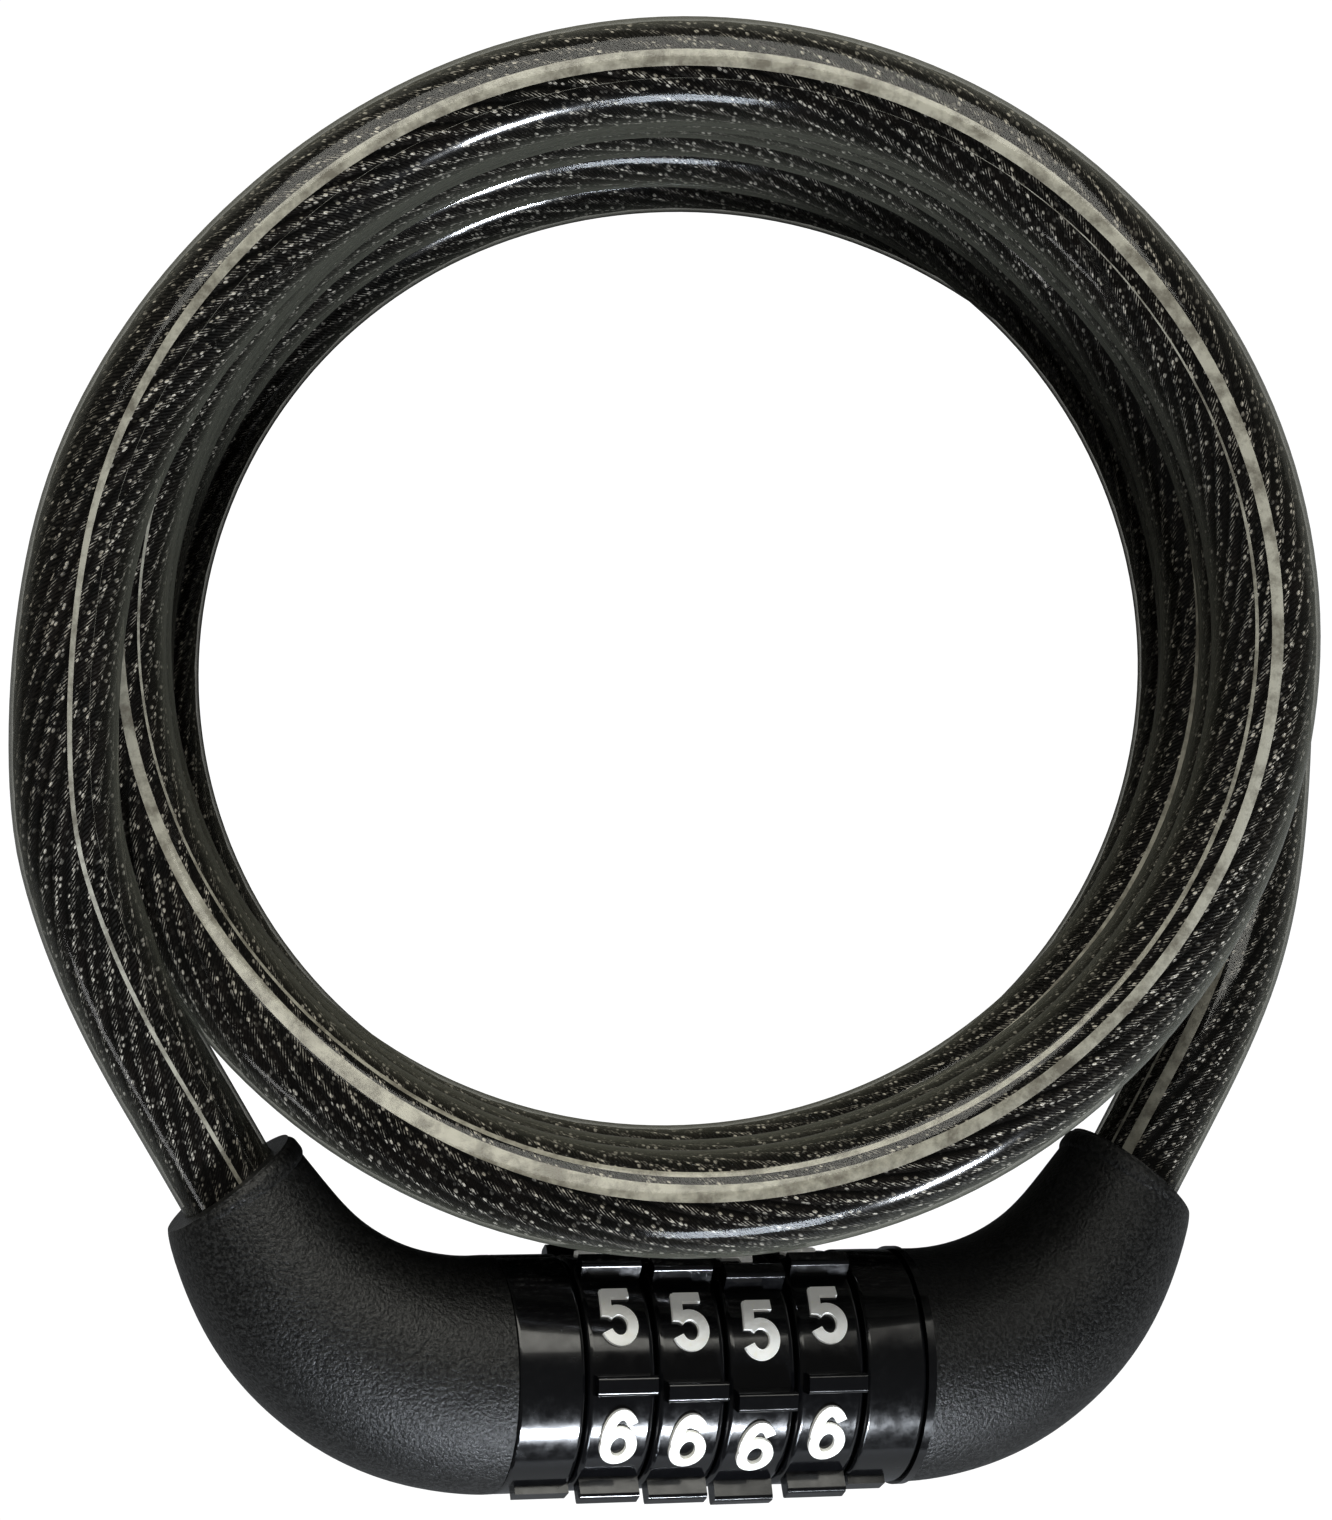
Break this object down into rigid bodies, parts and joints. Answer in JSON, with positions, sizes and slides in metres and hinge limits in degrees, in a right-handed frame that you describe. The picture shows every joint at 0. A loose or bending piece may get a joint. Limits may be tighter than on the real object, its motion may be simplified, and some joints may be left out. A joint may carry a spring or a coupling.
{
  "type": "cable lock",
  "caption": "Coiled combination cable lock: a sheathed steel cable in stacked turns, its ends joined by a barrel of number dials between two bent sleeves.",
  "frame": {"origin": "where the coil's axis meets the surface that the lock lies on", "axes": "+Z along the coil's axis, up; +X to the plug end of the lock body, which lies on the -Y side"},
  "size_m": [0.1254, 0.1409, 0.06],
  "materials": {
    "sleeve_grain": "fine moulded grain, matt black",
    "gloss_black": "polished black moulding",
    "dial_black": "polished black moulding with white raised figures",
    "zinc": "die-cast zinc, dull grey",
    "brass_ring": "turned brass",
    "pin_steel": "turned and plated steel",
    "wire_steel": "stranded steel wire",
    "spring_steel": "hard drawn spring steel",
    "cable_sheath": "clear smoke sheath over black twisted wire strands, with a grey reflective stripe"
  },
  "bodies": {
    "plug": {"right_sleeve": "sleeve_grain", "plug_bezel": "gloss_black", "right_elbow_core": "zinc", "right_anchor_pin": "pin_steel", "right_wire_end": "wire_steel", "locking_pin": "pin_steel", "cable_coil": "cable_sheath", "cable_right_tail": "cable_sheath"},
    "barrel": {"left_sleeve": "sleeve_grain", "left_collar": "gloss_black", "left_elbow_core": "zinc", "left_anchor_pin": "pin_steel", "left_wire_end": "wire_steel", "barrel_tube": "zinc", "right_collar": "gloss_black", "snap_ring": "spring_steel", "index_spring": "spring_steel", "ejector_spring": "spring_steel", "cable_left_tail": "cable_sheath"},
    "dial_1": {"dial_1": "dial_black", "clutch_ring_1": "brass_ring"},
    "dial_2": {"dial_2": "dial_black", "clutch_ring_2": "brass_ring"},
    "dial_3": {"dial_3": "dial_black", "clutch_ring_3": "brass_ring"},
    "dial_4": {"dial_4": "dial_black", "clutch_ring_4": "brass_ring"}
  },
  "joints": [
    {"name": "barrel_release", "type": "slide", "parent": "plug", "child": "barrel", "axis": [-0.9563, 0, 0.2924], "range_m": [0, 0.036]},
    {"name": "dial_1_turn", "type": "hinge", "parent": "barrel", "child": "dial_1", "pos_m": [-0.0073, -0.0686, 0.03043], "axis": [0.9563, 0, -0.2924], "continuous": true},
    {"name": "dial_2_turn", "type": "hinge", "parent": "barrel", "child": "dial_2", "pos_m": [-0.0007, -0.0686, 0.02841], "axis": [0.9563, 0, -0.2924], "continuous": true},
    {"name": "dial_3_turn", "type": "hinge", "parent": "barrel", "child": "dial_3", "pos_m": [0.0059, -0.0686, 0.02639], "axis": [0.9563, 0, -0.2924], "continuous": true},
    {"name": "dial_4_turn", "type": "hinge", "parent": "barrel", "child": "dial_4", "pos_m": [0.0125, -0.0686, 0.02437], "axis": [0.9563, 0, -0.2924], "continuous": true}
  ]
}
